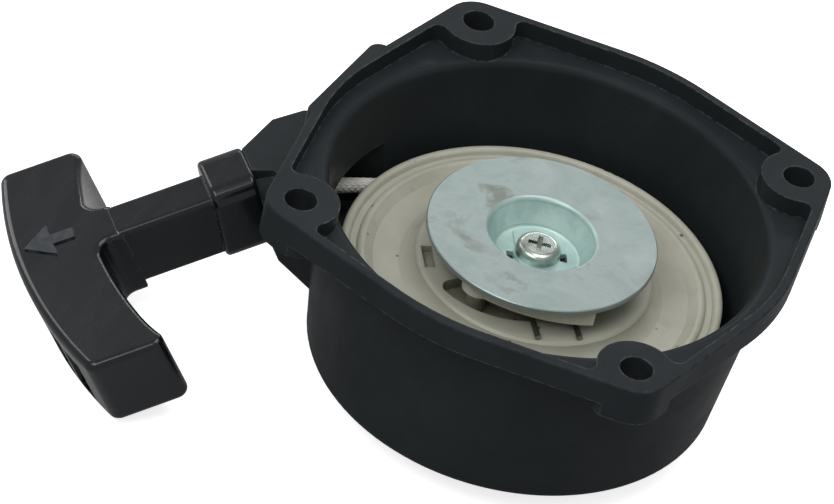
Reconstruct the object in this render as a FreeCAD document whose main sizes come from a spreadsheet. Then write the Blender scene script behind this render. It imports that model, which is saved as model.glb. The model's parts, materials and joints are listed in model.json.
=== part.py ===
"""Recoil starter for a small two-stroke engine.

Millimetres.  The origin is the centre of the square of bolt holes, on the flange face that
meets the engine, on the axis of the rope reel.  +Z points out of the open side, towards the
engine, and the closed end of the case is at the bottom.
"""
import FreeCAD, Part
import math
import os
import re

import Sketcher
from FreeCAD import Placement, Rotation, Vector

SIZES = {
    # flange and its four bolt holes
    "bolt_square": 80.0,
    "bolt_hole_radius": 3.5,
    "flange_round_radius": 54.3,
    "flange_corner_radius": 7.3,
    "flange_skirt": 6.0,
    "corner_skirt": 9.0,
    "corner_boss_radius": 8.4,
    "edge_round": 0.5,
    "rim_wall": 2.1,
    "web_depth": 4.3,
    "pocket_corner": 2.0,
    "side_pad_reach": 54.4,
    "side_pad_width": 32.4,
    # drum of the case
    "wall": 2.2,
    "drum_top_radius": 49.5,
    "drum_foot_radius": 45.3,
    "drum_depth": 48.1,
    "foot_disc_radius": 36.0,
    "foot_disc_depth": 55.2,
    "post_radius": 5.5,
    "post_top": 20.3,
    # rope outlet on the side of the case
    "outlet_top": 18.0,
    "outlet_foot": 38.6,
    "outlet_x": -60.6,
    "outlet_y": -14.3,
    "outlet_z": -27.4,
    "outlet_azimuth": 228.0,
    "outlet_droop": 20.0,
    "outlet_boss_radius": 7.3,
    "rope_passage_radius": 4.2,
    "eyelet_radius": 5.6,
    "eyelet_length": 4.0,
    # rope
    "rope_radius": 1.75,
    "rope_lane_depth": 28.8,
    "rope_pull_radius": 32.8,
    "rope_bearing": 218.4,
    # reel
    "reel_radius": 42.0,
    "reel_top": 23.35,
    "reel_flange_under": 26.8,
    "reel_lower_flange_top": 37.6,
    "reel_foot": 39.8,
    "reel_core_radius": 27.6,
    "hub_ring_radius": 26.0,
    "hub_ring_top": 21.2,
    "bush_radius": 7.2,
    "sleeve_radius": 9.0,
    "sleeve_foot": 51.4,
    "running_clearance": 0.06,
    # friction plate and its fixing
    "plate_radius": 25.2,
    "plate_top": 12.6,
    "plate_thickness": 1.2,
    "cup_mouth_radius": 11.5,
    "cup_floor_radius": 9.5,
    "cup_floor_top": 19.1,
    "washer_thickness": 0.8,
    "screw_head_radius": 4.9,
    "screw_head_height": 2.6,
    "screw_radius": 2.45,
    "screw_length": 12.5,
    # pawls and the wire that drags them out
    "pawl_pivot_radius": 19.6,
    "pawl_arc_radius": 34.2,
    "pawl_arc_east": -1.56,
    "pawl_arc_north": 12.47,
    "pawl_width": 5.2,
    "pawl_eye_radius": 3.7,
    "pawl_well_depth": 24.0,
    "pawl_top": 14.0,
    "pawl_thickness": 3.9,
    "pawl_pin_radius": 1.6,
    "pin_shoulder_radius": 2.1,
    "drag_wire_radius": 0.62,
    "drag_ring_radius": 15.2,
    # recoil spring
    "spring_inner_radius": 9.9,
    "spring_step": 1.05,
    "spring_strip": 0.45,
    "spring_height": 9.6,
    "spring_foot": 52.3,
    # handle, along its own axes: x away from the case, y across, z up
    "collar_length": 10.2,
    "collar_width": 14.4,
    "collar_height": 20.4,
    "stem_length": 31.0,
    "stem_width": 9.2,
    "stem_top": 7.7,
    "stem_foot": 9.1,
    "neck_width": 10.6,
    "grip_top": 7.9,
    "grip_height": 18.8,
    "grip_lean": 2.8,
    "grip_near_arm": 39.2,
    "grip_far_arm": 24.6,
    "grip_hollow_radius": 98.0,
    "grip_hollow_reach": 36.9,
    "grip_hook_radius": 38.0,
    "handle_bore_radius": 2.4,
    "knot_radius": 4.3,
    "knot_seat": 40.0,
    "knot_chamber_radius": 6.4,
}

PAWL_TURNS = {"a": 0.0, "b": 180.0}
PAWL_BEARING = -103.0
HUB_POCKET_BEARINGS = (-144.0, 36.0)

doc = FreeCAD.newDocument("recoil_starter")
sheet = doc.addObject("Spreadsheet::Sheet", "sizes")
for row, (alias, number) in enumerate(SIZES.items(), start=1):
    sheet.set(f"A{row}", alias)
    sheet.set(f"B{row}", f"{number:g}")
    sheet.setAlias(f"B{row}", alias)
doc.recompute()

nodes = []


# ---------------------------------------------------------------- helpers


def bound(text):
    """An expression with the sheet's name put before each of its aliases."""
    return re.sub(r"[a-z_]+", lambda word: f"sizes.{word[0]}" if word[0] in SIZES else word[0], text)


def value(text):
    """The present value of an expression in the sheet's aliases, worked out in a spare cell."""
    sheet.set("D1", f"={text}")
    sheet.recompute()
    number = float(sheet.get("D1"))
    sheet.clear("D1")
    return number


def bind(thing, **expressions):
    """Bind properties to expressions; base_x stands for Placement.Base.x, and so on."""
    for name, text in expressions.items():
        if name.startswith("base_"):
            name = f"Placement.Base.{name[-1]}"
        thing.setExpression(name, bound(text))
    return thing


def primitive(kind, name, **expressions):
    return bind(doc.addObject(f"Part::{kind}", name), **expressions)


def cylinder(name, radius, foot, height, east="0", north="0"):
    """An upright cylinder whose lower face is at z = foot."""
    return primitive("Cylinder", name, Radius=radius, Height=height,
                     base_x=east, base_y=north, base_z=foot)


def block(name, east, north, foot, length, width, height):
    """A box centred on (east, north), standing on z = foot."""
    return primitive("Box", name, Length=length, Width=width, Height=height,
                     base_x=f"{east} - ({length}) / 2", base_y=f"{north} - ({width}) / 2", base_z=foot)


def fuse(name, *shapes):
    joined = doc.addObject("Part::MultiFuse", name)
    joined.Shapes = list(shapes)
    return joined


def common(name, *shapes):
    shared = doc.addObject("Part::MultiCommon", name)
    shared.Shapes = list(shapes)
    return shared


def cut(name, base, tool):
    result = doc.addObject("Part::Cut", name)
    result.Base = base
    result.Tool = tool
    return result


def turned(thing, axis, degrees):
    """Turn an unplaced shape about an axis through the origin."""
    thing.Placement = Placement(thing.Placement.Base, Rotation(axis, degrees))
    return thing


def outline(name, points, upright=False):
    """A closed sketch.  A point is (x, y), or (x, y, middle) when an arc through the middle
    point leads to it.  Corners are held by dimensions that read the sheet."""
    sketch = doc.addObject("Sketcher::SketchObject", name)
    if upright:
        sketch.Placement = Placement(Vector(), Rotation(Vector(1, 0, 0), 90))
    corners = [Vector(value(point[0]), value(point[1]), 0) for point in points]
    for index, point in enumerate(points):
        start, end = corners[index - 1], corners[index]
        if len(point) == 3:
            middle = Vector(value(point[2][0]), value(point[2][1]), 0)
            sketch.addGeometry(Part.ArcOfCircle(start, middle, end))
        else:
            sketch.addGeometry(Part.LineSegment(start, end))
    for index, point in enumerate(points):
        if len(point) == 2 and len(points[(index + 1) % len(points)]) == 2:
            following = (index + 1) % len(points)
            sketch.addConstraint(Sketcher.Constraint("Coincident", index, 2, following, 1))
            hold(sketch, index, point[0], "DistanceX", -2)
            hold(sketch, index, point[1], "DistanceY", -1)
    return sketch


def hold(sketch, edge, text, direction, axis):
    """Hold the end of an edge at a signed distance from the sketch's origin."""
    distance = value(text)
    if abs(distance) < 1e-9:
        sketch.addConstraint(Sketcher.Constraint("PointOnObject", edge, 2, axis))
        return
    ends = (-1, 1, edge, 2) if distance > 0 else (edge, 2, -1, 1)
    number = sketch.addConstraint(Sketcher.Constraint(direction, *ends, abs(distance)))
    sketch.setExpression(f"Constraints[{number}]", bound(text if distance > 0 else f"-({text})"))


def revolved(name, points):
    """A solid turned about the Z axis from an outline of (radius, height) points."""
    solid = doc.addObject("Part::Revolution", name)
    solid.Source = outline(f"{name}_outline", points, upright=True)
    solid.Axis = Vector(0, 0, 1)
    solid.Angle = 360
    solid.Solid = True
    return solid


def extruded(name, sketch, length, foot):
    """A solid raised along Z from z = foot."""
    solid = doc.addObject("Part::Extrusion", name)
    solid.Base = sketch
    solid.DirMode = "Custom"
    solid.Dir = Vector(0, 0, 1)
    solid.Solid = True
    return bind(solid, LengthFwd=length, base_z=foot)


def rounded(name, base, radius, chosen):
    """Round the edges of a shape that the test picks."""
    doc.recompute()
    fillet = doc.addObject("Part::Fillet", name)
    fillet.Base = base
    picked = [number for number, edge in enumerate(base.Shape.Edges, start=1) if chosen(edge)]
    if not picked:
        raise ValueError(f"{name}: no edge picked")
    fillet.Edges = [(number, radius, radius) for number in picked]
    return fillet


def lies_at(edge, radius, height, slack=0.05):
    """True for a full circle about the Z axis at this radius and height."""
    curve = edge.Curve
    return (isinstance(curve, Part.Circle) and edge.isClosed()
            and abs(curve.Radius - radius) < slack and abs(curve.Center.z - height) < slack
            and math.hypot(curve.Center.x, curve.Center.y) < slack)


def around(bearing, radius):
    """The point at a radius on a compass bearing, counted from +X towards +Y."""
    angle = math.radians(bearing)
    return Vector(radius * math.cos(angle), radius * math.sin(angle), 0)


def node(thing, name):
    """Mark a shape as a finished piece with a file of its own."""
    thing.Label = name
    nodes.append(thing)
    return thing


# ---------------------------------------------------------------- shared places

half_square = value("bolt_square / 2")
bolt_centres = [Vector(x * half_square, y * half_square, 0) for x in (1, -1) for y in (1, -1)]

outlet = Vector(value("outlet_x"), value("outlet_y"), value("outlet_z"))
outlet_turn = Rotation(Vector(0, 0, 1), value("outlet_azimuth")).multiply(
    Rotation(Vector(0, 1, 0), value("outlet_droop")))
pull = outlet_turn.multVec(Vector(1, 0, 0))
outlet_place = Placement(outlet, outlet_turn)

rope_way = around(value("rope_bearing"), 1)
rope_leaves_coil = around(value("rope_bearing - 90"), value("rope_pull_radius"))
rope_leaves_coil.z = -value("rope_lane_depth")
LEAD_START = 16.0
LEAD_BEND = 39.0
lead_start = rope_leaves_coil + rope_way * LEAD_START
lead_bend = rope_leaves_coil + rope_way * LEAD_BEND


# ---------------------------------------------------------------- case


def flange_outline(name, inset):
    """The hull of a round rim and four round corners, all moved inwards by the inset."""
    rim = value(f"flange_round_radius - {inset}")
    corner = value(f"flange_corner_radius - {inset}")
    reach = math.hypot(half_square, half_square)
    spread = math.degrees(math.acos((rim - corner) / reach))
    sketch = doc.addObject("Sketcher::SketchObject", name)
    for quarter in range(4):
        middle = 45 + 90 * quarter
        centre = around(middle, reach)
        first, last = middle - spread, middle + spread
        sketch.addGeometry(Part.LineSegment(around(first, rim), centre + around(first, corner)))
        circle = Part.Circle(centre, Vector(0, 0, 1), corner)
        sketch.addGeometry(Part.ArcOfCircle(circle, math.radians(first), math.radians(last)))
        sketch.addGeometry(Part.LineSegment(centre + around(last, corner), around(last, rim)))
        circle = Part.Circle(Vector(), Vector(0, 0, 1), rim)
        sketch.addGeometry(Part.ArcOfCircle(circle, math.radians(last), math.radians(last + 90 - 2 * spread)))
    return sketch


def edged(name, solid):
    """Round the upper edges of a flange, where they lie in the engine's face."""
    return rounded(name, solid, value("edge_round"),
                   lambda edge: abs(edge.BoundBox.ZMin) < 0.01 and abs(edge.BoundBox.ZMax) < 0.01)


def at_bolts(name, radius, foot, height):
    """Four upright cylinders on the bolt centres."""
    return fuse(name, *[cylinder(f"{name}_{number}", radius, foot, height, f"{spot.x}", f"{spot.y}")
                        for number, spot in enumerate(bolt_centres)])


def drum_outside():
    return revolved("drum_outside", [
        ("0", "-flange_skirt + 0.5"),
        ("drum_top_radius + 3.2", "-flange_skirt + 0.5"),
        ("drum_top_radius + 3.2", "-flange_skirt"),
        ("drum_top_radius", "-flange_skirt - 3.4",
         ("drum_top_radius + 0.95", "-flange_skirt - 1")),
        ("drum_foot_radius + 0.2", "-drum_depth + 2.3"),
        ("drum_foot_radius - 2.1", "-drum_depth", ("drum_foot_radius - 0.45", "-drum_depth + 0.65")),
        ("foot_disc_radius", "-drum_depth"),
        ("foot_disc_radius", "-foot_disc_depth + 1"),
        ("foot_disc_radius - 1", "-foot_disc_depth"),
        ("0", "-foot_disc_depth"),
    ])


def drum_inside():
    return revolved("drum_inside", [
        ("0", "1"),
        ("drum_top_radius + 1.4", "1"),
        ("drum_top_radius + 1.4", "-web_depth"),
        ("drum_top_radius - wall + 2.1", "-web_depth"),
        ("drum_top_radius - wall + 0.1", "-web_depth - 2",
         ("drum_top_radius - wall + 0.69", "-web_depth - 0.59")),
        ("drum_foot_radius - wall", "-drum_depth + wall"),
        ("foot_disc_radius - wall", "-drum_depth + wall"),
        ("foot_disc_radius - wall", "-foot_disc_depth + wall"),
        ("0", "-foot_disc_depth + wall"),
    ])


def outlet_block():
    """The solid spout on the case's side, cut square to the pull."""
    planform = [("-41.2", "-21.1"), ("-57.4", "-15"), ("-63.5", "-19.7"), ("-66.7", "-20"),
                ("-66.6", "-0.1"), ("-62.9", "7.4"), ("-45", "22"), ("-30", "10"), ("-30", "-12")]
    body = extruded("outlet_body", outline("outlet_planform", planform), "outlet_foot - outlet_top",
                    "-outlet_foot")
    beyond = primitive("Box", "outlet_beyond", Length="60", Width="120", Height="120")
    beyond.Placement = Placement(outlet - outlet_turn.multVec(Vector(0, 60, 60)), outlet_turn)
    return cut("outlet_block", body, beyond)


def rope_passage():
    """The way through the case's side: the hollow inside the spout, then a bore to the outlet."""
    planform = [("-37", "10"), ("-40", "15.3"), ("-55", "3.4"), ("-58.5", "-3"), ("-54", "-8.5"),
                ("-44", "-12"), ("-40", "-5")]
    hollow = extruded("spout_hollow", outline("spout_inside", planform),
                      "outlet_foot - outlet_top - 3.4", "-outlet_foot + 1.7")
    out = outlet - lead_bend
    elbow = primitive("Sphere", "passage_elbow", Radius="rope_passage_radius")
    elbow.Placement.Base = lead_bend
    bore = primitive("Cylinder", "passage_bore", Radius="rope_passage_radius")
    bore.Height = out.Length + 6
    bore.Placement = Placement(lead_bend, Rotation(Vector(0, 0, 1), out))
    seat = primitive("Cylinder", "eyelet_seat", Radius="eyelet_radius", Height="eyelet_length + 1")
    seat.Placement = Placement(outlet - pull * value("eyelet_length"), Rotation(Vector(0, 0, 1), pull))
    return fuse("rope_passage", hollow, elbow, bore, seat)


def rim_pocket():
    """The shallow pocket inside the rim, rounded where it meets the corner bosses."""
    pocket = extruded("rim_pocket", flange_outline("pocket_edge", "rim_wall"), "web_depth + 1",
                      "-web_depth")
    islands = at_bolts("pocket_island", "corner_boss_radius", "-web_depth - 1", "web_depth + 3")
    pocket = cut("pocket_beside_bosses", pocket, islands)

    def meets_boss(edge):
        place = edge.CenterOfMass
        nearest = min(math.hypot(place.x - spot.x, place.y - spot.y) for spot in bolt_centres)
        upright = abs(edge.tangentAt(edge.FirstParameter).z) > 0.99
        return upright and nearest < value("corner_boss_radius") + 0.1 and math.hypot(place.x, place.y) > 50

    return rounded("pocket_round", pocket, value("pocket_corner"), meets_boss)


def housing_shell():
    flange = extruded("flange", flange_outline("flange_edge", "0"), "flange_skirt", "-flange_skirt")
    pad = block("side_pad", "-side_pad_reach + 5", "2.2", "-flange_skirt", "10", "side_pad_width",
                "flange_skirt")
    pad = rounded("side_pad_round", pad, 3.0,
                  lambda edge: abs(edge.tangentAt(0).z) > 0.99 and edge.CenterOfMass.x < -54)
    boss = primitive("Cylinder", "outlet_boss", Radius="outlet_boss_radius", Height="12")
    boss.Placement = Placement(outlet - pull * 12, Rotation(Vector(0, 0, 1), pull))
    outside = fuse("case_outside", edged("flange_edged", flange), drum_outside(), outlet_block(), boss,
                   edged("side_pad_edged", pad))

    hollow = fuse("case_hollow", rim_pocket(), drum_inside())
    walls = cut("case_walls", outside, hollow)

    reach = extruded("corner_reach", flange_outline("corner_edge", "0"), "corner_skirt",
                     "-corner_skirt")
    bosses = at_bolts("corner_boss", "corner_boss_radius", "-corner_skirt", "corner_skirt")
    bosses = common("corner_bosses", edged("corner_reach_edged", reach), bosses)

    post = cylinder("post", "post_radius", "-foot_disc_depth + wall / 2",
                    "foot_disc_depth - wall / 2 - post_top")
    thrust = cylinder("thrust_face", "sleeve_radius - 0.2", "-foot_disc_depth + wall / 2",
                      "foot_disc_depth - wall / 2 - sleeve_foot - 0.1")
    case = fuse("case_solid", walls, bosses, post, thrust)

    drills = at_bolts("bolt_hole", "bolt_hole_radius", "-corner_skirt - 1", "corner_skirt + 2")
    insert_bore = cylinder("insert_bore", "3.6", "-33", "33 - post_top + 1")
    openings = fuse("case_openings", drills, insert_bore, rope_passage())
    return node(cut("case_finished", case, openings), "housing_shell")


def rope_eyelet():
    """A pressed ring that the rope rubs on, flared towards the inside."""
    ring = revolved("eyelet_ring", [
        ("eyelet_radius", "0"),
        ("eyelet_radius", "-eyelet_length"),
        ("eyelet_radius - 0.8", "-eyelet_length"),
        ("3.1", "-0.9", ("3.6", "-eyelet_length / 2 - 0.3")),
        ("3.6", "0"),
    ])
    ring.Placement = Placement(outlet, Rotation(Vector(0, 0, 1), pull))
    return node(ring, "rope_eyelet")


def spring_case():
    tray = revolved("spring_tray", [
        ("sleeve_radius + 0.3", "-foot_disc_depth + wall + 0.05"),
        ("foot_disc_radius - wall - 0.3", "-foot_disc_depth + wall + 0.05"),
        ("foot_disc_radius - wall - 0.3", "-spring_foot + spring_height + 0.7"),
        ("foot_disc_radius - wall - 0.9", "-spring_foot + spring_height + 0.7"),
        ("foot_disc_radius - wall - 0.9", "-spring_foot - 0.1"),
        ("sleeve_radius + 0.3", "-spring_foot - 0.1"),
    ])
    return node(tray, "spring_case")


def spring_cover():
    disc = cylinder("cover_disc", "foot_disc_radius - wall - 0.3",
                    "-spring_foot + spring_height + 0.7", "0.8")
    eye = cylinder("cover_eye", "sleeve_radius + 0.8", "-foot_disc_depth", "20")
    return node(cut("cover_finished", disc, eye), "spring_cover")


def recoil_spring():
    """A flat strip wound as a spiral of half circles, taken about two centres in turn."""
    half_turns = 20
    step = value("spring_step")
    strip = value("spring_strip")
    foot = -value("spring_foot")

    def side(offset):
        arcs = []
        for turn in range(half_turns):
            radius = value("spring_inner_radius") + step * turn + offset
            centre = Vector(step if turn % 2 else 0, 0, foot)
            way = -1 if turn % 2 else 1
            arcs.append(Part.Arc(centre + Vector(way * radius, 0, 0), centre + Vector(0, way * radius, 0),
                                 centre + Vector(-way * radius, 0, 0)).toShape())
        return arcs

    def first_end(arc):
        return arc.valueAt(arc.FirstParameter)

    def last_end(arc):
        return arc.valueAt(arc.LastParameter)

    inner = side(0)
    outer = side(strip)
    start = Part.makeLine(first_end(inner[0]), first_end(outer[0]))
    end = Part.makeLine(last_end(inner[-1]), last_end(outer[-1]))
    rim = Part.Wire(Part.__sortEdges__(inner + [end] + outer + [start]))
    coil = doc.addObject("Part::Feature", "spring_coil")
    coil.Shape = Part.Face(rim).extrude(Vector(0, 0, value("spring_height")))
    return node(coil, "recoil_spring")


# ---------------------------------------------------------------- plate and screw


def friction_plate():
    dish = revolved("plate_dish", [
        ("2.65", "-cup_floor_top"),
        ("cup_floor_radius - 0.8", "-cup_floor_top"),
        ("cup_floor_radius", "-cup_floor_top + 0.8", ("cup_floor_radius - 0.22", "-cup_floor_top + 0.25")),
        ("cup_mouth_radius", "-plate_top - 1.2"),
        ("cup_mouth_radius + 1.2", "-plate_top", ("cup_mouth_radius + 0.33", "-plate_top - 0.33")),
        ("plate_radius - 0.2", "-plate_top"),
        ("plate_radius", "-plate_top - 0.2"),
        ("plate_radius", "-plate_top - plate_thickness"),
        ("cup_mouth_radius + 1.9", "-plate_top - plate_thickness"),
        ("cup_mouth_radius + 1.2", "-plate_top - plate_thickness - 0.7"),
        ("cup_floor_radius + 1.2", "-cup_floor_top"),
        ("cup_floor_radius", "-cup_floor_top - plate_thickness"),
        ("2.65", "-cup_floor_top - plate_thickness"),
    ])
    slots = []
    for side, bearing in enumerate((19.0, 207.0)):
        wedge = primitive("Cylinder", f"slot_wedge_{side}", Radius="6.7", Height="4",
                          base_z="-cup_floor_top - 3")
        wedge.Angle = 25
        turned(wedge, Vector(0, 0, 1), bearing)
        slots.append(wedge)
    core = cylinder("slot_core", "5.1", "-cup_floor_top - 4", "6")
    slots = cut("plate_slots", fuse("slot_wedges", *slots), core)
    return node(cut("plate_finished", dish, slots), "friction_plate")


def clamp_washer():
    bar = block("washer_bar", "0", "0", "-cup_floor_top", "16.6", "9", "washer_thickness")
    hole = cylinder("washer_hole", "2.6", "-cup_floor_top - 1", "4")
    ends = cylinder("washer_ends", "8.3", "-cup_floor_top", "washer_thickness")
    washer = cut("washer_finished", common("washer_blank", bar, ends), hole)
    return node(turned(washer, Vector(0, 0, 1), 125), "clamp_washer")


def centre_screw():
    seat = "-cup_floor_top + washer_thickness"
    head = cylinder("screw_head", "screw_head_radius", seat, "screw_head_height")
    top = value(f"{seat} + screw_head_height")
    head = rounded("screw_head_round", head, 1.5,
                   lambda edge: lies_at(edge, value("screw_head_radius"), top))
    shank = cylinder("screw_shank", "screw_radius", f"{seat} - screw_length", "screw_length + 1")
    blank = fuse("screw_blank", head, shank)
    bars = [block(f"recess_{number}", "0", "0", f"{seat} + screw_head_height - 1.4", length, width, "3")
            for number, (length, width) in enumerate((("5", "1.1"), ("1.1", "5")))]
    screw = cut("screw_finished", blank, fuse("cross_recess", *bars))
    return node(turned(screw, Vector(0, 0, 1), 20), "centre_screw")


def thread_insert():
    sleeve = cylinder("insert_sleeve", "3.6", "-32.8", "32.8 - post_top")
    bore = cylinder("insert_thread", "screw_radius", "-34", "34")
    return node(cut("insert_finished", sleeve, bore), "thread_insert")


# ---------------------------------------------------------------- reel


def reel():
    flange_edge = "-reel_top - 0.6"
    turning = revolved("reel_turning", [
        ("bush_radius", "-sleeve_foot"),
        ("sleeve_radius", "-sleeve_foot"),
        ("sleeve_radius", "-reel_foot"),
        ("reel_radius - 0.8", "-reel_foot"),
        ("reel_radius - 0.8", "-reel_lower_flange_top"),
        ("reel_core_radius", "-reel_lower_flange_top"),
        ("reel_core_radius", "-reel_flange_under"),
        ("reel_radius - 0.5", "-reel_flange_under"),
        ("reel_radius", "-reel_flange_under + 0.5"),
        ("reel_radius", flange_edge),
        ("reel_radius - 1.9", flange_edge, ("reel_radius - 0.95", "-reel_top")),
        ("reel_radius - 2.2", "-reel_top - 1.3"),
        ("reel_radius - 3.5", "-reel_top - 1.3"),
        ("reel_radius - 3.8", "-reel_top - 0.7"),
        ("reel_radius - 5.6", "-reel_top - 0.7", ("reel_radius - 4.7", "-reel_top - 0.25")),
        ("reel_radius - 7.3", "-reel_top - 2"),
        ("hub_ring_radius + 3", "-reel_top - 2.1"),
        ("hub_ring_radius", "-hub_ring_top - 0.5", ("hub_ring_radius + 0.9", "-reel_top - 0.7")),
        ("hub_ring_radius - 0.5", "-hub_ring_top"),
        ("bush_radius", "-hub_ring_top"),
    ])
    cuts = []
    for number, bearing in enumerate(HUB_POCKET_BEARINGS):
        pocket = primitive("Box", f"hub_pocket_{number}", Length="2.5", Width="7", Height="6")
        corner = Rotation(Vector(0, 0, 1), bearing).multVec(Vector(22.2, -3.5, 0))
        pocket.Placement = Placement(corner + Vector(0, 0, -22.9), Rotation(Vector(0, 0, 1), bearing))
        cuts.append(pocket)
    for mark, turn in PAWL_TURNS.items():
        spot = around(PAWL_BEARING + turn, value("pawl_pivot_radius"))
        cuts.append(cylinder(f"pin_seat_{mark}", "pin_shoulder_radius", "-29", "10",
                             f"{spot.x}", f"{spot.y}"))
        cuts.append(pawl_well(mark))
    return node(cut("reel_finished", turning, fuse("reel_cuts", *cuts)), "reel")


def pawl_well(mark):
    """The recess in the hub under a pawl, with a round end."""
    depth = "pawl_well_depth - hub_ring_top + 2"
    round_edge = cylinder(f"well_edge_{mark}", "18.8", "-pawl_well_depth", depth, "-4.32", "-3.55")
    sector = primitive("Cylinder", f"well_sector_{mark}", Radius="30", Height=depth,
                       base_z="-pawl_well_depth")
    sector.Angle = 62
    turned(sector, Vector(0, 0, 1), -124)
    core = cylinder(f"well_core_{mark}", "drag_ring_radius + 1", "-pawl_well_depth - 1", "9")
    well = cut(f"well_open_{mark}", common(f"well_blank_{mark}", round_edge, sector), core)
    well = rounded(f"pawl_well_{mark}", well, 2.4,
                   lambda edge: abs(edge.tangentAt(edge.FirstParameter).z) > 0.99
                   and edge.CenterOfMass.x < -12)
    return turned(well, Vector(0, 0, 1), PAWL_TURNS[mark])


def reel_bush():
    sleeve = cylinder("bush_sleeve", "bush_radius", "-sleeve_foot", "sleeve_foot - hub_ring_top")
    bore = cylinder("bush_bore", "post_radius + running_clearance", "-sleeve_foot - 1", "40")
    return node(cut("bush_finished", sleeve, bore), "reel_bush")


def rope_coil():
    """The outer shape of the rope that is wound on the reel."""
    outer = cylinder("coil_outside", "rope_pull_radius + rope_radius - 0.15", "-reel_lower_flange_top + 0.1",
                     "reel_lower_flange_top - reel_flange_under - 0.2")
    core = cylinder("coil_core", "reel_core_radius + 0.1", "-reel_lower_flange_top - 1", "14")
    return node(cut("coil_finished", outer, core), "rope_coil")


def pawl(mark):
    """A long curved finger that swings out about the pin through the eye at its heel."""
    foot = "-pawl_top - pawl_thickness"
    east, north = value("pawl_arc_east"), value("pawl_arc_north")
    spot = around(PAWL_BEARING, value("pawl_pivot_radius"))
    heel = math.degrees(math.atan2(spot.y - north, spot.x - east))
    tip = -49.7
    finger = cylinder(f"pawl_finger_{mark}", "pawl_arc_radius", foot, "pawl_thickness",
                      "pawl_arc_east", "pawl_arc_north")
    finger.Angle = tip - heel
    turned(finger, Vector(0, 0, 1), heel)
    inside = cylinder(f"pawl_inside_{mark}", "pawl_arc_radius - pawl_width", "-30", "20",
                      "pawl_arc_east", "pawl_arc_north")
    finger = cut(f"pawl_arc_{mark}", finger, inside)
    eye = cylinder(f"pawl_eye_{mark}", "pawl_eye_radius", foot, "pawl_thickness", f"{spot.x}", f"{spot.y}")
    bore = cylinder(f"pawl_bore_{mark}", "pawl_pin_radius + running_clearance", "-30", "20",
                    f"{spot.x}", f"{spot.y}")
    finished = cut(f"pawl_finished_{mark}", fuse(f"pawl_blank_{mark}", finger, eye), bore)
    return node(turned(finished, Vector(0, 0, 1), PAWL_TURNS[mark]), f"pawl_{mark}")


def pawl_pin(mark):
    """A pin with a shoulder that carries the pawl clear of the hub."""
    spot = around(PAWL_BEARING + PAWL_TURNS[mark], value("pawl_pivot_radius"))
    pin = cylinder(f"pin_{mark}", "pawl_pin_radius", "-29", "29 - pawl_top", f"{spot.x}", f"{spot.y}")
    shoulder = cylinder(f"pin_shoulder_{mark}", "pin_shoulder_radius", "-29",
                        "29 - pawl_top - pawl_thickness - running_clearance", f"{spot.x}", f"{spot.y}")
    return node(fuse(f"pin_finished_{mark}", pin, shoulder), f"pawl_pin_{mark}")


def drag_spring():
    """An open wire ring on the hub with two legs side by side that reach outwards."""
    height = "-hub_ring_top + drag_wire_radius"
    middle, apart = -50.5, 4.6
    radius = value("drag_ring_radius")
    half_opening = math.degrees(math.asin(apart / radius))
    ring = primitive("Torus", "drag_ring", Radius1="drag_ring_radius", Radius2="drag_wire_radius",
                     base_z=height)
    ring.Angle3 = 360 - 2 * half_opening
    turned(ring, Vector(0, 0, 1), middle + half_opening)
    legs = []
    for number, side in enumerate((-1, 1)):
        leg = primitive("Cylinder", f"drag_leg_{number}", Radius="drag_wire_radius", Height="10.3")
        start = around(middle + side * half_opening, radius)
        start.z = value(height)
        leg.Placement = Placement(start, Rotation(Vector(0, 0, 1), around(middle, 1)))
        legs.append(leg)
    return node(fuse("drag_finished", ring, *legs), "drag_spring")


# ---------------------------------------------------------------- rope and handle


def rope_lead():
    """The rope between the reel and the outlet: two straight runs and the arc that joins them."""
    end = outlet - (outlet - lead_bend).normalize() * 1.0
    first = (lead_start - lead_bend).normalize()
    second = (end - lead_bend).normalize()
    shorter = min((lead_start - lead_bend).Length, (end - lead_bend).Length)
    half_turn = (math.pi - first.getAngle(second)) / 2
    setback = 0.45 * shorter
    radius = setback / math.tan(half_turn)
    inward = (first + second).normalize()
    middle = lead_bend + inward * (radius / math.cos(half_turn) - radius)
    arc = Part.Arc(lead_bend + first * setback, middle, lead_bend + second * setback).toShape()
    path = Part.Wire([Part.makeLine(lead_start, lead_bend + first * setback), arc,
                      Part.makeLine(lead_bend + second * setback, end)])
    section = Part.Wire([Part.makeCircle(value("rope_radius"), lead_start, rope_way)])
    tube = doc.addObject("Part::Feature", "lead_tube")
    tube.Shape = path.makePipeShell([section], True, False)
    print("rope lead bend radius", round(radius, 1), "volume ratio",
          round(tube.Shape.Volume / (math.pi * value("rope_radius") ** 2 * path.Length), 4))
    return node(tube, "rope_lead")


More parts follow.
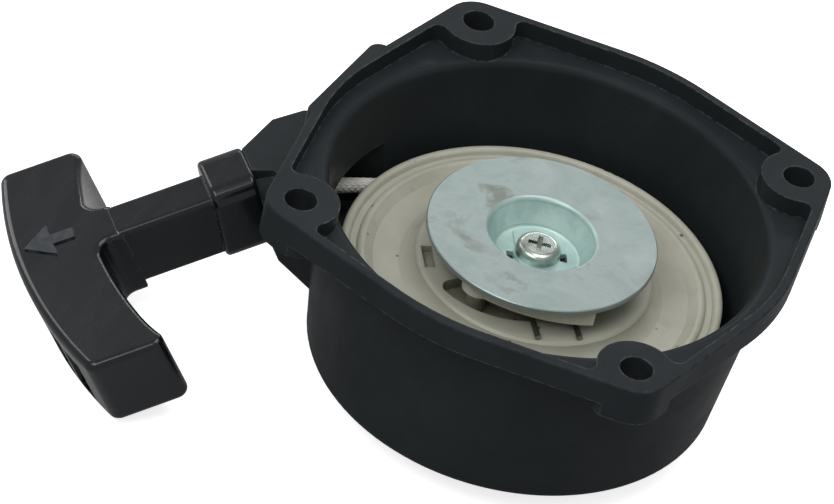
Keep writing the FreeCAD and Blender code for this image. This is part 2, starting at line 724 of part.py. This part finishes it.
def grip_planform():
    """The T of the grip and its neck, seen from above in the handle's own axes.

    Each side of the hollow that faces the case is a shallow arc, then a tighter one, its hook,
    that meets it without a corner."""
    middle = (value("grip_near_arm") - value("grip_far_arm")) / 2
    hollow = value("grip_hollow_radius")
    hollow_centre = Vector(value("grip_hollow_reach") - hollow, middle - 1.2, 0)
    hook = value("grip_hook_radius")

    def on_circle(centre, radius, across):
        return Vector(centre.x + math.sqrt(radius ** 2 - (across - centre.y) ** 2), across, 0)

    def side(join, end):
        """Points from the neck outwards along one side of the hollow."""
        neck = on_circle(hollow_centre, hollow, math.copysign(value("neck_width / 2"), end))
        along = on_circle(hollow_centre, hollow, (neck.y + join) / 2)
        corner = on_circle(hollow_centre, hollow, join)
        hook_centre = corner + (hollow_centre - corner).normalize() * hook
        bend = on_circle(hook_centre, hook, (join + end) / 2)
        last = on_circle(hook_centre, hook, end)
        return [neck, along, corner, bend, last]

    near = [(f"{spot.x}", f"{spot.y}") for spot in side(29.0, value("grip_near_arm"))]
    far = [(f"{spot.x}", f"{spot.y}") for spot in side(-15.0, -value("grip_far_arm"))]
    return outline("grip_planform", [
        ("stem_length", "neck_width / 2"),
        near[0],
        (*near[2], near[1]),
        (*near[4], near[3]),
        ("48.8", "grip_near_arm"),
        ("50.6", "-grip_far_arm", ("54.6", f"{middle}")),
        far[4],
        (*far[2], far[3]),
        (*far[0], far[1]),
        ("stem_length", "-neck_width / 2"),
    ])


def handle_grip():
    """Collar, stem and grip in one moulding, with a bore for the rope and open ribs outside."""
    collar = block("collar_block", "collar_length / 2", "-0.3", "-collar_height / 2 + 0.3", "collar_length",
                   "collar_width", "collar_height")
    collar = rounded("collar_corners", collar, 3.8, lambda edge: abs(edge.tangentAt(0).x) > 0.99)
    collar = rounded("collar_round", collar, 1.0, lambda edge: edge.BoundBox.XLength < 0.01)
    stem = block("stem_block", "(stem_length + 8) / 2 + 2", "0", "-stem_foot", "stem_length + 4",
                 "stem_width", "stem_top + stem_foot")
    stem = rounded("stem_round", stem, 1.3, lambda edge: abs(edge.tangentAt(0).x) > 0.99)

    bar = doc.addObject("Part::Extrusion", "grip_bar")
    bar.Base = grip_planform()
    bar.DirMode = "Custom"
    bar.Dir = Vector(-value("grip_lean"), 0, -value("grip_height"))
    bar.Solid = True
    bind(bar, LengthFwd="sqrt(grip_height ^ 2 + grip_lean ^ 2)", base_z="grip_top")

    def slanted(edge):
        return abs(edge.tangentAt(edge.FirstParameter).z) > 0.9

    arms = value("(grip_near_arm + grip_far_arm) / 2"), value("(grip_near_arm - grip_far_arm) / 2")
    half_neck = value("neck_width / 2")
    bar = rounded("grip_ends", bar, 2.6,
                  lambda edge: slanted(edge) and abs(edge.CenterOfMass.y - arms[1]) > arms[0] - 0.1)
    bar = rounded("grip_neck", bar, 3.3,
                  lambda edge: slanted(edge) and abs(abs(edge.CenterOfMass.y) - half_neck) < 0.1
                  and edge.CenterOfMass.x > value("stem_length"))
    top, foot = value("grip_top"), value("grip_top - grip_height")
    bar = rounded("grip_edges", bar, 1.6,
                  lambda edge: min(abs(edge.BoundBox.ZMin - top) + abs(edge.BoundBox.ZMax - top),
                                   abs(edge.BoundBox.ZMin - foot) + abs(edge.BoundBox.ZMax - foot)) < 0.01)
    solid = fuse("handle_solid", collar, stem, bar)

    bore = primitive("Cylinder", "handle_bore", Radius="handle_bore_radius", Height="60", base_x="-1")
    chamber = primitive("Cylinder", "knot_chamber", Radius="knot_chamber_radius", Height="30",
                        base_x="knot_seat")
    for hole in (bore, chamber):
        hole.Placement = Placement(hole.Placement.Base, Rotation(Vector(0, 1, 0), 90))
    windows = []
    for number, across in enumerate((-16.5, 13.5, 21.5, 29.5)):
        window = block(f"grip_window_{number}", "48", f"{across}", "-9.6", "14", "6.4", "12.4")
        windows.append(window)
    hollow = fuse("handle_hollow", bore, chamber, *windows)
    moulding = cut("handle_moulding", solid, hollow)

    arrow = extruded("pull_arrow", outline("arrow_outline", [
        ("40.5", "-1.4"), ("45.4", "-1.4"), ("45.4", "-4.6"), ("51.6", "0"),
        ("45.4", "4.6"), ("45.4", "1.4"), ("40.5", "1.4")]), "0.9", "grip_top - 0.4")
    handle = fuse("handle_finished", moulding, arrow)
    handle.Placement = outlet_place
    return node(handle, "handle_grip")


def knot_washer():
    disc = primitive("Cylinder", "knot_disc", Radius="knot_chamber_radius - 0.5", Height="1.2",
                     base_x="knot_seat")
    eye = primitive("Cylinder", "knot_eye", Radius="rope_radius + 0.2", Height="60", base_x="0")
    for round_bar in (disc, eye):
        round_bar.Placement = Placement(round_bar.Placement.Base, Rotation(Vector(0, 1, 0), 90))
    washer = cut("knot_washer_finished", disc, eye)
    washer.Placement = outlet_place
    return node(washer, "knot_washer")


def handle_rope():
    """The rope inside the handle, ending in the knot that holds it."""
    seat = "knot_seat + 1.2"
    run = primitive("Cylinder", "handle_run", Radius="rope_radius", Height=f"{seat} + 3", base_x="0.1")
    run.Placement = Placement(run.Placement.Base, Rotation(Vector(0, 1, 0), 90))
    knot = primitive("Sphere", "handle_knot", Radius="knot_radius", base_x=f"{seat} + knot_radius - 0.4")
    face = block("knot_trim", "20", "0", "-10", "40 + 2.4", "20", "20")
    tied = cut("knot_trimmed", knot, face)
    rope = fuse("handle_rope_finished", run, tied)
    rope.Placement = outlet_place
    return node(rope, "handle_rope")


housing_shell()
rope_eyelet()
spring_case()
spring_cover()
recoil_spring()
friction_plate()
clamp_washer()
centre_screw()
thread_insert()
rope_lead()
reel()
reel_bush()
rope_coil()
drag_spring()
for pawl_mark in PAWL_TURNS:
    pawl(pawl_mark)
    pawl_pin(pawl_mark)
handle_grip()
knot_washer()
handle_rope()

doc.recompute()
for thing in doc.Objects:
    if "Invalid" in thing.State or "Error" in thing.State:
        raise RuntimeError(f"{thing.Name} ({thing.Label}) did not compute: {thing.State}")
for thing in nodes:
    if thing.Shape.isNull() or not thing.Shape.isValid():
        raise RuntimeError(f"{thing.Label} has no valid shape")

os.makedirs("parts", exist_ok=True)
for thing in nodes:
    thing.Shape.exportStep(f"parts/{thing.Label}.step")
    box = thing.Shape.BoundBox
    print(f"{thing.Label:16s} solids {len(thing.Shape.Solids)} volume {thing.Shape.Volume:9.1f} "
          f"z {box.ZMin:7.2f} {box.ZMax:7.2f}")
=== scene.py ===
import json
import math

import bmesh
import bpy
import numpy as np
from mathutils import Matrix, Vector


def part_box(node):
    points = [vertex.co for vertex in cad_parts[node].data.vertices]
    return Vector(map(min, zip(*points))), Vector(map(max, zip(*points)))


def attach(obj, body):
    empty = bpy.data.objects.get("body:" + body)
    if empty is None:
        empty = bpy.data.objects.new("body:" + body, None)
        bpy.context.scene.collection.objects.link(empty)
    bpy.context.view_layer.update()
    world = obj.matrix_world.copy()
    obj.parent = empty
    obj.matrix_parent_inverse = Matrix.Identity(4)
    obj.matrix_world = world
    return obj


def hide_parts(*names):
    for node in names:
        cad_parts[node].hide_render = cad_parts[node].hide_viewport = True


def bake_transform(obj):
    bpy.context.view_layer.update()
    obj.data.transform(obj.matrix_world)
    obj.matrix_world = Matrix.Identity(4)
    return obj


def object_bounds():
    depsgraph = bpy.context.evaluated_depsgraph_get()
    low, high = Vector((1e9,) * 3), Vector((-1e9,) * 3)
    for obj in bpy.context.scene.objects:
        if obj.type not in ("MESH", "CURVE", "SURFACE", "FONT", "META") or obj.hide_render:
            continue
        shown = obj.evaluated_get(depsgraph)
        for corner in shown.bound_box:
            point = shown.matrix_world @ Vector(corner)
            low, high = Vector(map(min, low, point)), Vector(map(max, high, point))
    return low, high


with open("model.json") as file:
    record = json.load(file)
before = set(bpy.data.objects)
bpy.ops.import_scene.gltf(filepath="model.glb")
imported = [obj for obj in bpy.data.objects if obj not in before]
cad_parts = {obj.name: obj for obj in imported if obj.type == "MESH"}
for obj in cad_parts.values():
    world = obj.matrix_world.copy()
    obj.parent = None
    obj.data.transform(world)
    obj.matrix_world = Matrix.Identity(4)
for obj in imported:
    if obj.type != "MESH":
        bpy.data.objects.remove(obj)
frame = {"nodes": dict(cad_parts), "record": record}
CAD_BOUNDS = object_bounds()

MM = 0.001
BRAID_STRANDS = 8
BRAID_PITCH = 11.7 * MM
ROPE_RADIUS = 1.75 * MM
DRAWN_ROPE_RADIUS = 1.62 * MM
nodes = frame["nodes"]
scene = bpy.context.scene


# ---------------------------------------------------------------- node materials


class Shader:
    """A small builder of node materials, with the Principled shader in the middle."""

    def __init__(self, name):
        self.material = bpy.data.materials.new(name)
        self.material.use_nodes = True
        self.tree = self.material.node_tree
        self.principled = self.tree.nodes["Principled BSDF"]
        self.bumps = None

    def node(self, kind, **settings):
        made = self.tree.nodes.new(kind)
        for key, setting in settings.items():
            setattr(made, key, setting)
        return made

    def feed(self, socket, source):
        if isinstance(source, bpy.types.NodeSocket):
            self.tree.links.new(source, socket)
        else:
            socket.default_value = source

    def set(self, name, source):
        self.feed(self.principled.inputs[name], source)

    def place(self):
        """The point on the object, in metres."""
        return self.node("ShaderNodeTexCoord").outputs["Object"]

    def radius(self):
        """The distance from the reel's axis, in metres."""
        flat = self.node("ShaderNodeVectorMath", operation="MULTIPLY")
        self.feed(flat.inputs[0], self.place())
        flat.inputs[1].default_value = (1, 1, 0)
        length = self.node("ShaderNodeVectorMath", operation="LENGTH")
        self.feed(length.inputs[0], flat.outputs["Vector"])
        return length.outputs["Value"]

    def stretched(self, vector, scale, turn=(0, 0, 0)):
        mapping = self.node("ShaderNodeMapping")
        self.feed(mapping.inputs["Vector"], vector)
        mapping.inputs["Scale"].default_value = scale
        mapping.inputs["Rotation"].default_value = turn
        return mapping.outputs["Vector"]

    def noise(self, scale, detail=4.0, rough=0.55, distortion=0.0, vector=None):
        made = self.node("ShaderNodeTexNoise")
        self.feed(made.inputs["Vector"], vector or self.place())
        made.inputs["Scale"].default_value = scale
        made.inputs["Detail"].default_value = detail
        made.inputs["Roughness"].default_value = rough
        made.inputs["Distortion"].default_value = distortion
        return made.outputs["Fac"]

    def ramp(self, source, *stops):
        made = self.node("ShaderNodeValToRGB")
        self.feed(made.inputs["Fac"], source)
        elements = made.color_ramp.elements
        while len(elements) < len(stops):
            elements.new(0.5)
        for element, (position, colour) in zip(elements, stops):
            element.position = position
            element.color = colour if isinstance(colour, tuple) else (colour, colour, colour, 1)
        return made.outputs["Color"]

    def spread(self, source, low, high, start=0.0, end=1.0):
        made = self.node("ShaderNodeMapRange")
        self.feed(made.inputs["Value"], source)
        limits = (("From Min", start), ("From Max", end), ("To Min", low), ("To Max", high))
        for key, number in limits:
            made.inputs[key].default_value = number
        return made.outputs["Result"]

    def mix(self, fraction, first, second):
        made = self.node("ShaderNodeMix", data_type="RGBA")
        self.feed(made.inputs[0], fraction)
        self.feed(made.inputs[6], first)
        self.feed(made.inputs[7], second)
        return made.outputs[2]

    def math(self, operation, first, second=0.0):
        made = self.node("ShaderNodeMath", operation=operation)
        self.feed(made.inputs[0], first)
        self.feed(made.inputs[1], second)
        return made.outputs[0]

    def edges(self, radius):
        """1 along outer and inner edges, 0 on open faces: how far a bevel would turn the normal."""
        bevel = self.node("ShaderNodeBevel", samples=4)
        bevel.inputs["Radius"].default_value = radius
        product = self.node("ShaderNodeVectorMath", operation="DOT_PRODUCT")
        self.feed(product.inputs[0], bevel.outputs["Normal"])
        self.feed(product.inputs[1], self.node("ShaderNodeNewGeometry").outputs["Normal"])
        return self.spread(product.outputs["Value"], 1.0, 0.0, 0.86, 0.985)

    def bump(self, height, distance, strength=1.0):
        """One more layer of bump on top of those so far.  Distance is in metres."""
        made = self.node("ShaderNodeBump")
        made.inputs["Strength"].default_value = strength
        made.inputs["Distance"].default_value = distance
        self.feed(made.inputs["Height"], height)
        if self.bumps:
            self.feed(made.inputs["Normal"], self.bumps)
        self.bumps = made.outputs["Normal"]
        self.set("Normal", self.bumps)


def rgb(red, green, blue):
    """A linear colour from one given on the usual 0 to 255 screen scale."""
    def linear(part):
        part /= 255
        return part / 12.92 if part <= 0.04045 else ((part + 0.055) / 1.055) ** 2.4
    return (linear(red), linear(green), linear(blue), 1)


def moulded_black(name, base, lighter, rough, grain, shine, coat):
    """Moulded black plastic: fine grain, handling haze, dust, a few scuffs, and edges painted paler: a
    painted highlight broken up like wear.
    """
    s = Shader(name)
    haze = s.noise(38, 5, 0.6)
    colour = s.mix(s.spread(haze, 0, 1, 0.35, 0.7), base, lighter)
    speck = s.ramp(s.noise(2100, 2, 0.5), (0.69, 0.0), (0.78, 1.0))
    patch = s.spread(s.noise(60, 3, 0.6), 0.0, 0.3, 0.45, 0.75)
    colour = s.mix(s.math("MULTIPLY", speck, patch), colour, rgb(110, 112, 110))
    # painted highlight: outer and inner edges are painted paler, broken up by noise like wear
    edge_breakup = s.spread(s.noise(500, 5, 0.7), 0.0, 1.0, 0.42, 0.62)
    edge_wear_and_highlight = s.math("MULTIPLY", s.edges(0.7 * MM), edge_breakup)
    s.set("Base Color", s.mix(s.math("MULTIPLY", edge_wear_and_highlight, 0.8), colour, rgb(92, 96, 98)))
    scuff = s.noise(160, 6, 0.7, 0.4, s.stretched(s.place(), (1.0, 0.16, 0.5), (0.3, 0.2, 0.8)))
    uneven = s.math("ADD", s.spread(haze, -0.05, 0.06), s.spread(scuff, -0.05, 0.08, 0.35, 0.65))
    s.set("Roughness", s.math("ADD", uneven, rough))
    s.set("Specular IOR Level", shine)
    s.set("Coat Weight", coat)
    s.set("Coat Roughness", 0.09)
    s.bump(s.noise(45, 3, 0.5), 0.0004, 0.3)
    s.bump(s.noise(1900, 3, 0.6), grain, 0.6)
    return s


def zinc_plate(name):
    """Zinc-plated sheet with water stains, rolling marks and fine scratches; the cup is painted a paler
    teal, partly its own tint and partly a painted reflection.
    """
    s = Shader(name)
    stain = s.noise(70, 8, 0.66, 0.35)
    blotch = s.noise(30, 4, 0.55, 0.2)
    pale, grey, dull = rgb(164, 176, 174), rgb(143, 157, 155), rgb(104, 108, 98)
    colour = s.mix(s.spread(stain, 0, 1, 0.38, 0.62), grey, pale)
    dark = s.math("MULTIPLY", s.ramp(stain, (0.50, 0.0), (0.60, 1.0)),
                  s.ramp(blotch, (0.47, 0.0), (0.58, 1.0)))
    colour = s.mix(s.math("MULTIPLY", dark, 0.7), colour, dull)
    # cup painted paler teal: partly its own tint, partly a painted reflection of its bright inside
    in_cup = s.spread(s.radius(), 1.0, 0.0, 11.6 * MM, 12.6 * MM)
    cup_tint_and_reflection = s.mix(s.spread(stain, 0, 1, 0.35, 0.65), rgb(140, 172, 168), rgb(190, 212, 207))
    s.set("Base Color", s.mix(in_cup, colour, cup_tint_and_reflection))
    s.set("Metallic", s.spread(in_cup, 0.7, 0.45))
    rolled = s.noise(700, 4, 0.6, 0.0, s.stretched(s.place(), (1.0, 0.05, 1.0), (0, 0, 0.7)))
    s.set("Roughness", s.math("ADD", s.spread(stain, 0.34, 0.48, 0.3, 0.7),
                              s.spread(rolled, -0.04, 0.05)))
    s.bump(rolled, 0.00002, 0.5)
    s.bump(s.noise(260, 3, 0.6), 0.00003, 0.5)
    return s.material


def bright_steel(name, base, rough, metallic=0.95):
    s = Shader(name)
    wear = s.noise(190, 3, 0.5)
    s.set("Base Color", s.mix(s.spread(wear, 0, 1, 0.35, 0.65), base, rgb(120, 118, 112)))
    s.set("Metallic", metallic)
    s.set("Roughness", s.spread(wear, rough - 0.06, rough + 0.12, 0.3, 0.7))
    s.bump(s.noise(1500, 3, 0.6), 0.00001, 0.5)
    return s.material


def brass(name):
    s = Shader(name)
    wear = s.noise(300, 5, 0.6)
    s.set("Base Color", s.mix(wear, rgb(205, 168, 92), rgb(158, 122, 62)))
    s.set("Metallic", 0.95)
    s.set("Roughness", s.spread(wear, 0.25, 0.42, 0.3, 0.7))
    s.bump(s.noise(900, 3, 0.6), 0.00001, 0.5)
    return s.material


def nylon(name, base, shade, rough=0.45, well_level=None):
    """Natural moulded nylon: waxy, a little see-through, with cloudy marks and grime, and with
    painted shade that darkens the hub below a level."""
    s = Shader(name)
    cloud = s.noise(34, 5, 0.6, 0.3)
    colour = s.mix(s.spread(cloud, 0, 1, 0.35, 0.68), base, shade)
    grime = s.ramp(s.noise(120, 7, 0.7, 0.8), (0.58, 0.0), (0.72, 1.0))
    colour = s.mix(s.math("MULTIPLY", grime, 0.28), colour, rgb(116, 112, 98))
    cells = s.node("ShaderNodeTexVoronoi")
    s.feed(cells.inputs["Vector"], s.place())
    cells.inputs["Scale"].default_value = 150
    dot = s.ramp(cells.outputs["Distance"], (0.05, 1.0), (0.085, 0.0))
    colour = s.mix(s.math("MULTIPLY", dot, 0.8), colour, rgb(58, 54, 44))
    # painted shade: the hub below the level is painted dark brown, standing in for the shade in the well
    # under the pawl
    if well_level:
        apart = s.node("ShaderNodeSeparateXYZ")
        s.feed(apart.inputs["Vector"], s.place())
        low = s.spread(apart.outputs["Z"], 1.0, 0.0, well_level - 1.6 * MM, well_level)
        hub = s.spread(s.radius(), 1.0, 0.0, 25.0 * MM, 25.3 * MM)
        painted_well_shade = s.math("MULTIPLY", s.math("MULTIPLY", low, hub),
                         s.spread(cloud, 0.5, 0.75, 0.35, 0.65))
        colour = s.mix(painted_well_shade, colour, rgb(92, 86, 70))
    s.set("Base Color", colour)
    s.set("Subsurface Weight", 0.25)
    s.set("Subsurface Radius", (0.9, 0.8, 0.6))
    s.set("Subsurface Scale", 0.0016)
    s.set("Roughness", s.spread(cloud, rough - 0.08, rough + 0.1, 0.3, 0.7))
    s.bump(s.noise(900, 3, 0.6), 0.00003, 0.6)
    s.bump(s.noise(70, 3, 0.5), 0.0002, 0.35)
    return s.material


def rope_yarn(name):
    """Twisted polyester yarn, a little soiled."""
    s = Shader(name)
    fibre = s.noise(5200, 3, 0.6)
    dirt = s.noise(260, 5, 0.65)
    colour = s.mix(s.spread(dirt, 0, 1, 0.4, 0.7), rgb(214, 213, 203), rgb(176, 173, 159))
    s.set("Base Color", s.mix(s.math("MULTIPLY", fibre, 0.4), colour, rgb(232, 231, 224)))
    s.set("Roughness", s.spread(fibre, 0.5, 0.8))
    s.set("Sheen Weight", 0.2)
    s.set("Sheen Roughness", 0.5)
    s.bump(fibre, 0.00006, 0.8)
    return s


def along(s, vector, direction, start=(0, 0, 0)):
    """The distance of a shader's point from a start, measured along a direction."""
    shifted = s.node("ShaderNodeVectorMath", operation="SUBTRACT")
    s.feed(shifted.inputs[0], vector)
    shifted.inputs[1].default_value = start
    product = s.node("ShaderNodeVectorMath", operation="DOT_PRODUCT")
    s.feed(product.inputs[0], shifted.outputs["Vector"])
    product.inputs[1].default_value = direction
    return product.outputs["Value"]


def straight_braid(name, start, direction, aside, above):
    """The same yarn with its braid worked out from the place on the rope, so that the pattern
    keeps its size when the rope is drawn out."""
    s = rope_yarn(name)
    place = s.place()
    turn = s.math("ARCTAN2", along(s, place, above, start), along(s, place, aside, start))
    advance = s.math("MULTIPLY", along(s, place, direction, start), 2 * math.pi / BRAID_PITCH)
    raised = s.math("MULTIPLY", s.math("COSINE", s.math("MULTIPLY", turn, BRAID_STRANDS)), 0.45)
    strands = []
    for way in (1, -1):
        lean = s.math("ADD", turn, s.math("MULTIPLY", advance, way))
        crest = s.math("COSINE", s.math("MULTIPLY", lean, BRAID_STRANDS))
        strands.append(s.math("ADD", crest, s.math("MULTIPLY", raised, way)))
    height = s.math("MAXIMUM", *strands)
    s.bump(s.spread(height, 0, 1, -1.0, 1.4), 0.0004)
    return s.material


def pale_topped_arrow(s):
    """The raised pull-arrow on the grip, its top painted paler than the plastic round it."""
    place = s.place()
    ahead, across, upward = GRIP_AXES
    height = along(s, place, tuple(upward), tuple(outlet))
    reach = along(s, place, tuple(ahead), tuple(outlet))
    side = along(s, place, tuple(across), tuple(outlet))
    raised = s.math("GREATER_THAN", height, 8.05 * MM)
    near = s.math("MULTIPLY", s.math("GREATER_THAN", reach, 36 * MM),
                  s.math("LESS_THAN", s.math("ABSOLUTE", side), 8 * MM))
    arrow_top_mask = s.math("MULTIPLY", s.math("MULTIPLY", raised, near),
                  s.spread(s.noise(700, 4, 0.6), 0.5, 1.0, 0.35, 0.65))
    plain = s.principled.inputs["Base Color"].links[0].from_socket
    s.set("Base Color", s.mix(arrow_top_mask, plain, rgb(58, 62, 66)))
    return s.material


joints = {joint["name"]: joint for joint in frame["record"]["behaviour"]["joints"]}
pull = Vector(joints["handle_pull"]["axis"]).normalized()
eyelet_low, eyelet_high = (Vector(corner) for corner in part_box("rope_eyelet"))
outlet = (eyelet_low + eyelet_high) / 2 + pull * 2 * MM
aside = pull.cross(Vector((0, 0, 1))).normalized()
above = aside.cross(pull)
GRIP_AXES = (pull, aside, above)

SHADES = {
    "case_black": moulded_black("case_black", rgb(34, 38, 40), rgb(41, 45, 47),
                                rough=0.36, grain=0.00006, shine=0.05, coat=0.0).material,
    "grip_black": pale_topped_arrow(moulded_black("grip_black", rgb(9, 14, 18), rgb(14, 19, 23),
                                           rough=0.22, grain=0.00002, shine=0.2, coat=0.45)),
    "zinc_plate": zinc_plate("zinc_plate"),
    "screw_steel": bright_steel("screw_steel", rgb(200, 210, 204), 0.24),
    "spring_steel": bright_steel("spring_steel", rgb(140, 140, 136), 0.32),
    "eyelet": bright_steel("eyelet", rgb(150, 150, 148), 0.25),
    "brass_insert": brass("brass_insert"),
    "reel_nylon": nylon("reel_nylon", rgb(176, 176, 163), rgb(156, 156, 141),
                        well_level=-21.4 * MM),
    "bush": nylon("bush", rgb(150, 150, 142), rgb(132, 130, 120)),
    "pawl": nylon("pawl", rgb(206, 206, 192), rgb(190, 189, 173), 0.4),
    "rope": rope_yarn("rope").material,
}

for part in frame["record"]["subparts"]:
    piece = nodes[part["node"]]
    piece.data.materials.clear()
    piece.data.materials.append(SHADES[part["material_slot"]])

greased_steel = bright_steel("greased_steel", rgb(170, 168, 152), 0.5, metallic=0.35)
for pin in ("pawl_pin_a", "pawl_pin_b"):
    nodes[pin].data.materials[0] = greased_steel


# ---------------------------------------------------------------- rope


def centreline(piece, count):
    """Centres of a tube-like piece, found by slicing it square to its longest direction."""
    points = np.array([tuple(corner.co) for corner in piece.data.vertices])
    middle = points.mean(axis=0)
    direction = np.linalg.svd(points - middle, full_matrices=False)[2][0]
    reach = (points - middle) @ direction
    centres = []
    for distance in np.linspace(reach.min() + 1.2 * MM, reach.max() - 1.2 * MM, count):
        slices = bmesh.new()
        slices.from_mesh(piece.data)
        geometry = slices.verts[:] + slices.edges[:] + slices.faces[:]
        made = bmesh.ops.bisect_plane(slices, geom=geometry,
                                      plane_co=Vector(middle + direction * distance),
                                      plane_no=Vector(direction))
        ring = [tuple(item.co) for item in made["geom_cut"] if isinstance(item, bmesh.types.BMVert)]
        centres.append(np.mean(ring, axis=0))
        slices.free()
    first = centres[0] + (centres[0] - centres[1])
    last = centres[-1] + (centres[-1] - centres[-2])
    return np.array([first, *centres, last])


def resampled(points, step):
    """Evenly spaced points on a smooth curve through the given ones."""
    knots = np.concatenate([[0], np.cumsum(np.linalg.norm(np.diff(points, axis=0), axis=1))])
    slopes = np.gradient(points, knots, axis=0)
    places = np.linspace(0, knots[-1], max(2, round(knots[-1] / step)))
    index = np.clip(np.searchsorted(knots, places, side="right") - 1, 0, len(knots) - 2)
    span = (knots[index + 1] - knots[index])[:, None]
    t = (places - knots[index])[:, None] / span
    return ((2 * t ** 3 - 3 * t ** 2 + 1) * points[index]
            + (t ** 3 - 2 * t ** 2 + t) * span * slopes[index]
            + (3 * t ** 2 - 2 * t ** 3) * points[index + 1]
            + (t ** 3 - t ** 2) * span * slopes[index + 1])


def braid_height(turn, advance):
    """Height of a braid of two sets of strands that pass over and under each other."""
    raised = 0.3 * np.cos(BRAID_STRANDS * turn)
    sets = []
    for way in (1, -1):
        across = BRAID_STRANDS * (turn + way * advance)
        offset = (across + math.pi) % (2 * math.pi) - math.pi
        sets.append(np.sqrt(np.maximum(0, 1 - (offset / 3.4) ** 2)) + way * raised)
    return np.maximum(*sets)


def tube(name, path, around, radius_at, shade):
    """A closed tube along a path, its radius given for every turn and advance."""
    tangents = np.gradient(path, axis=0)
    tangents /= np.linalg.norm(tangents, axis=1)[:, None]
    sideways = np.cross(tangents, (0, 0, 1))
    sideways /= np.linalg.norm(sideways, axis=1)[:, None]
    upwards = np.cross(sideways, tangents)
    travelled = np.concatenate([[0], np.cumsum(np.linalg.norm(np.diff(path, axis=0), axis=1))])
    turns = np.arange(around) * 2 * math.pi / around
    turn, distance = np.meshgrid(turns, travelled)
    radius = radius_at(turn, distance)[:, :, None]
    rings = (path[:, None] + radius * (np.cos(turn)[:, :, None] * sideways[:, None]
                                       + np.sin(turn)[:, :, None] * upwards[:, None]))
    count = len(path)
    corners = [*rings.reshape(-1, 3), path[0], path[-1]]
    faces = []
    for ring in range(count - 1):
        for step in range(around):
            following = (step + 1) % around
            faces.append((ring * around + step, ring * around + following,
                          (ring + 1) * around + following, (ring + 1) * around + step))
    for step in range(around):
        following = (step + 1) % around
        faces.append((count * around, following, step))
        faces.append((count * around + 1, (count - 1) * around + step, (count - 1) * around + following))
    mesh = bpy.data.meshes.new(name)
    mesh.from_pydata([tuple(corner) for corner in corners], [], faces)
    mesh.validate()
    outside = bmesh.new()
    outside.from_mesh(mesh)
    bmesh.ops.recalc_face_normals(outside, faces=outside.faces)
    outside.to_mesh(mesh)
    outside.free()
    mesh.polygons.foreach_set("use_smooth", [True] * len(mesh.polygons))
    mesh.materials.append(shade)
    made = bpy.data.objects.new(name, mesh)
    scene.collection.objects.link(made)
    return made


def braided(turn, distance):
    """The radius of a braided rope at a turn round it and a distance along it."""
    return ROPE_RADIUS - 0.5 * MM * (1 - braid_height(turn, 2 * math.pi * distance / BRAID_PITCH) / 1.3)


lead_path = resampled(centreline(nodes["rope_lead"], 22), 0.22 * MM)
lead = tube("rope_lead_braid", lead_path, 96, braided, SHADES["rope"])
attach(lead, "housing")
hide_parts("rope_lead")

run = np.linspace(outlet - pull * 3 * MM, outlet + pull * 9 * MM, 49)
drawn = tube("rope_drawn_out", run, 32, lambda turn, distance: np.full(turn.shape, DRAWN_ROPE_RADIUS),
             straight_braid("rope_drawn", tuple(outlet), tuple(pull), tuple(aside), tuple(above)))
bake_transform(drawn)


# ---------------------------------------------------------------- floor, light and camera


def lamp(name, power, size, place, towards):
    """A rectangular softbox that faces a point."""
    data = bpy.data.lights.new(name, "AREA")
    data.shape = "RECTANGLE"
    data.size, data.size_y = size
    data.energy = power
    made = bpy.data.objects.new(name, data)
    made.location = place
    made.rotation_euler = (Vector(towards) - Vector(place)).to_track_quat("-Z", "Y").to_euler()
    scene.collection.objects.link(made)
    return made


floor_height = CAD_BOUNDS[0][2] - 0.05 * MM
floor_mesh = bpy.data.meshes.new("floor")
floor_corners = ((-6, -6), (6, -6), (6, 6), (-6, 6))
floor_mesh.from_pydata([(x, y, floor_height) for x, y in floor_corners], [], [(0, 1, 2, 3)])
floor = bpy.data.objects.new("floor", floor_mesh)
scene.collection.objects.link(floor)
floor_shade = Shader("floor")
paper = floor_shade.mix(floor_shade.noise(3.0), (0.90, 0.90, 0.90, 1), (0.93, 0.93, 0.93, 1))
seen = floor_shade.node("ShaderNodeLightPath").outputs["Is Camera Ray"]
floor_shade.set("Base Color", floor_shade.mix(seen, (0.42, 0.42, 0.42, 1), paper))
floor_shade.set("Roughness", 0.7)
floor_shade.set("Specular IOR Level", 0.1)
floor_shade.set("Emission Color", paper)
floor_shade.set("Emission Strength", floor_shade.spread(seen, 0.05, 0.8))
# seen from below the floor is clear, so that the underside of the starter can be looked at
one_sided = floor_shade.node("ShaderNodeMixShader")
floor_shade.feed(one_sided.inputs[0], floor_shade.node("ShaderNodeNewGeometry").outputs["Backfacing"])
floor_shade.feed(one_sided.inputs[1], floor_shade.principled.outputs["BSDF"])
floor_shade.feed(one_sided.inputs[2], floor_shade.node("ShaderNodeBsdfTransparent").outputs["BSDF"])
surface = floor_shade.tree.nodes["Material Output"].inputs["Surface"]
floor_shade.feed(surface, one_sided.outputs["Shader"])
floor.data.materials.append(floor_shade.material)

world = bpy.data.worlds.new("studio")
world.use_nodes = True
world.node_tree.nodes["Background"].inputs["Color"].default_value = (1, 1, 1, 1)
world.node_tree.nodes["Background"].inputs["Strength"].default_value = 0.5
scene.world = world

lamp("softbox_over", 5, (0.7, 0.7), (0.2, 0.1, 1.15), (0, 0, -0.02))
lamp("softbox_front", 7, (0.9, 0.6), (-0.25, -0.8, 1.1), (0, 0, -0.02))
lamp("softbox_left", 2.5, (0.3, 0.8), (-1.0, 0.1, 0.45), (0, 0, -0.02))
lamp("strip_back", 2.0, (1.0, 0.12), (-0.5, 0.95, 0.6), (0, 0, -0.02))

EYE = Vector((0.2465, -0.7562, 0.6292))
RIGHT = Vector((0.8621, 0.4724, 0.1836))
UP = Vector((-0.4337, 0.5002, 0.7495))
AHEAD = Vector((-0.2622, 0.7257, -0.6361))
camera = bpy.data.objects.new("camera", bpy.data.cameras.new("camera"))
facing = Matrix((RIGHT, UP, -AHEAD)).transposed().to_4x4()
camera.matrix_world = Matrix.Translation(EYE) @ facing
camera.data.sensor_width = 36
camera.data.lens = 206.17
camera.data.clip_end = 50
scene.collection.objects.link(camera)
scene.camera = camera
scene.view_settings.view_transform = "Standard"
